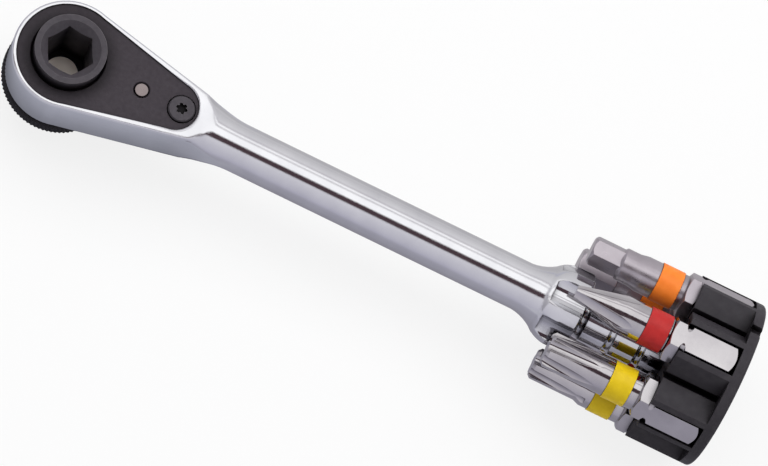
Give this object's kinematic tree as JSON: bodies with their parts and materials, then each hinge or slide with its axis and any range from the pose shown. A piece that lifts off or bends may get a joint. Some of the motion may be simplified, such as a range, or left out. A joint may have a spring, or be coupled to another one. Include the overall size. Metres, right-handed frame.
{
  "type": "mini ratchet wrench",
  "caption": "Chrome mini bit ratchet with a hexagon drive, a thumbwheel, a reversing lever and a revolver of colour-ringed screwdriver bits on its tail.",
  "frame": {"origin": "on the drive axis, at the height of the handle's centre line", "axes": "+X from the drive axis along the handle to the bit holder, +Z along the drive axis out of the socket's mouth"},
  "size_m": [0.1153, 0.0258, 0.0258],
  "materials": {
    "chrome": "polished chrome plate",
    "black_steel": "black oxide, satin",
    "nickel": "satin nickel",
    "black_plastic": "moulded, satin",
    "orange": "lacquered band",
    "red": "lacquered band",
    "yellow": "lacquered band"
  },
  "bodies": {
    "wrench": {"wrench_body": "chrome", "cover_plate": "black_steel", "cover_screw": "black_steel", "spindle_clip": "nickel", "detent_spring": "nickel"},
    "drive": {"drive_gear": "black_steel", "thumbwheel": "black_steel", "thumbwheel_clip": "nickel", "socket_magnet": "nickel"},
    "selector": {"pawl": "nickel", "lever_stem": "nickel", "reversing_lever": "black_steel"},
    "detent": {"detent_ball": "nickel"},
    "slider": {"holder_snap_ring": "nickel"},
    "holder": {"bit_holder": "black_plastic"},
    "hex_large": {"hex_bit_large": "nickel", "hex_ring_large": "orange"},
    "hex_small": {"hex_bit_small": "nickel", "hex_ring_small": "orange"},
    "cross_large": {"cross_bit_large": "nickel", "cross_ring_large": "red"},
    "cross_small": {"cross_bit_small": "nickel", "cross_ring_small": "red"},
    "star_large": {"star_bit_large": "nickel", "star_ring_large": "yellow"},
    "star_small": {"star_bit_small": "nickel", "star_ring_small": "yellow"}
  },
  "joints": [
    {"name": "drive_spin", "type": "hinge", "parent": "wrench", "child": "drive", "pos_m": [0, 0, 0], "axis": [0, 0, 1], "continuous": true},
    {"name": "reverse_turn", "type": "hinge", "parent": "wrench", "child": "selector", "pos_m": [0.0116, 0, 0], "axis": [0, 0, 1], "range_deg": [-13, 0]},
    {"name": "detent_press", "type": "slide", "parent": "wrench", "child": "detent", "axis": [1, 0, 0], "range_m": [0, 0.0003], "stiffness_N_per_m": 300, "springref_m": -0.0005, "deforming": ["detent_spring"]},
    {"name": "holder_slide", "type": "slide", "parent": "wrench", "child": "slider", "axis": [-1, 0, 0], "range_m": [0, 0.0094], "deforming": ["holder_snap_ring"]},
    {"name": "holder_turn", "type": "hinge", "parent": "slider", "child": "holder", "pos_m": [0.1, 0, 0], "axis": [1, 0, 0], "continuous": true},
    {"name": "hex_large_pull", "type": "slide", "parent": "holder", "child": "hex_large", "axis": [-1, 0, 0], "range_m": [0, 0.0105]},
    {"name": "hex_small_pull", "type": "slide", "parent": "holder", "child": "hex_small", "axis": [-1, 0, 0], "range_m": [0, 0.0105]},
    {"name": "cross_large_pull", "type": "slide", "parent": "holder", "child": "cross_large", "axis": [-1, 0, 0], "range_m": [0, 0.0105]},
    {"name": "cross_small_pull", "type": "slide", "parent": "holder", "child": "cross_small", "axis": [-1, 0, 0], "range_m": [0, 0.0105]},
    {"name": "star_large_pull", "type": "slide", "parent": "holder", "child": "star_large", "axis": [-1, 0, 0], "range_m": [0, 0.0105]},
    {"name": "star_small_pull", "type": "slide", "parent": "holder", "child": "star_small", "axis": [-1, 0, 0], "range_m": [0, 0.0105]}
  ]
}
